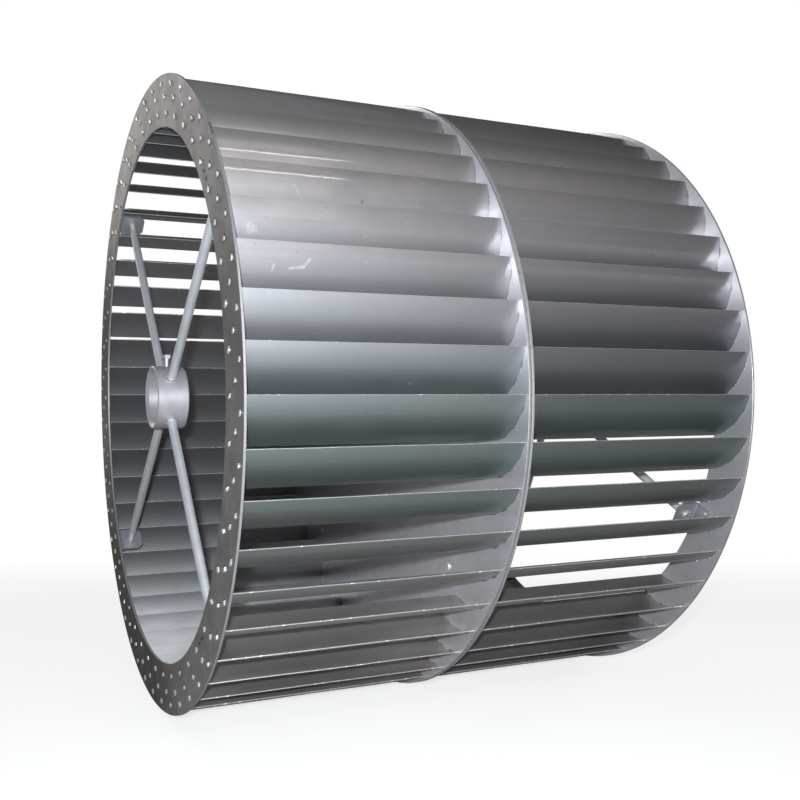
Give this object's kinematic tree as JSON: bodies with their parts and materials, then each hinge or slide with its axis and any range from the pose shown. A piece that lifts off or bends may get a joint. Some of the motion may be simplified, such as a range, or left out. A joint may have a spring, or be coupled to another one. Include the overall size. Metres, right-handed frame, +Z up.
{
  "type": "centrifugal blower wheel",
  "caption": "Double-inlet centrifugal blower wheel with forward-curved sheet blades, centre discs, and hubs held by stay rods.",
  "frame": {"origin": "centre of the wheel, on its axis and midway between the two centre discs", "axes": "+Y along the axis from the near inlet to the far inlet, +Z up, +X completes the right-handed frame"},
  "size_m": [0.71, 0.571, 0.7099],
  "materials": {
    "blade_sheet": "zinc-coated rolled sheet with fine lengthwise scratches",
    "plate_sheet": "zinc-coated flat sheet with bright cut edges",
    "bracket_sheet": "zinc-coated folded strip",
    "hub_steel": "turned steel, lightly plated",
    "rod_steel": "plated round bar",
    "screw_steel": "plated screws",
    "rivet_steel": "plated rivets"
  },
  "bodies": {
    "root": {"disc_rivets": "rivet_steel", "far_blades_01": "blade_sheet", "far_blades_02": "blade_sheet", "far_blades_03": "blade_sheet", "far_blades_04": "blade_sheet", "far_blades_05": "blade_sheet", "far_blades_06": "blade_sheet", "far_blades_07": "blade_sheet", "far_blades_08": "blade_sheet", "far_blades_09": "blade_sheet", "far_blades_10": "blade_sheet", "far_blades_11": "blade_sheet", "far_blades_12": "blade_sheet", "far_bracket_1": "bracket_sheet", "far_bracket_2": "bracket_sheet", "far_bracket_3": "bracket_sheet", "far_bracket_4": "bracket_sheet", "far_bracket_rivets": "rivet_steel", "far_disc": "plate_sheet", "far_hub": "hub_steel", "far_ring": "plate_sheet", "far_rod_1": "rod_steel", "far_rod_2": "rod_steel", "far_rod_3": "rod_steel", "far_rod_4": "rod_steel", "far_rod_screws": "screw_steel", "far_set_screw": "screw_steel", "near_blades_01": "blade_sheet", "near_blades_02": "blade_sheet", "near_blades_03": "blade_sheet", "near_blades_04": "blade_sheet", "near_blades_05": "blade_sheet", "near_blades_06": "blade_sheet", "near_blades_07": "blade_sheet", "near_blades_08": "blade_sheet", "near_blades_09": "blade_sheet", "near_blades_10": "blade_sheet", "near_blades_11": "blade_sheet", "near_blades_12": "blade_sheet", "near_bracket_1": "bracket_sheet", "near_bracket_2": "bracket_sheet", "near_bracket_3": "bracket_sheet", "near_bracket_4": "bracket_sheet", "near_bracket_rivets": "rivet_steel", "near_disc": "plate_sheet", "near_hub": "hub_steel", "near_ring": "plate_sheet", "near_rod_1": "rod_steel", "near_rod_2": "rod_steel", "near_rod_3": "rod_steel", "near_rod_4": "rod_steel", "near_rod_screws": "screw_steel", "near_set_screw": "screw_steel"}
  },
  "joints": []
}
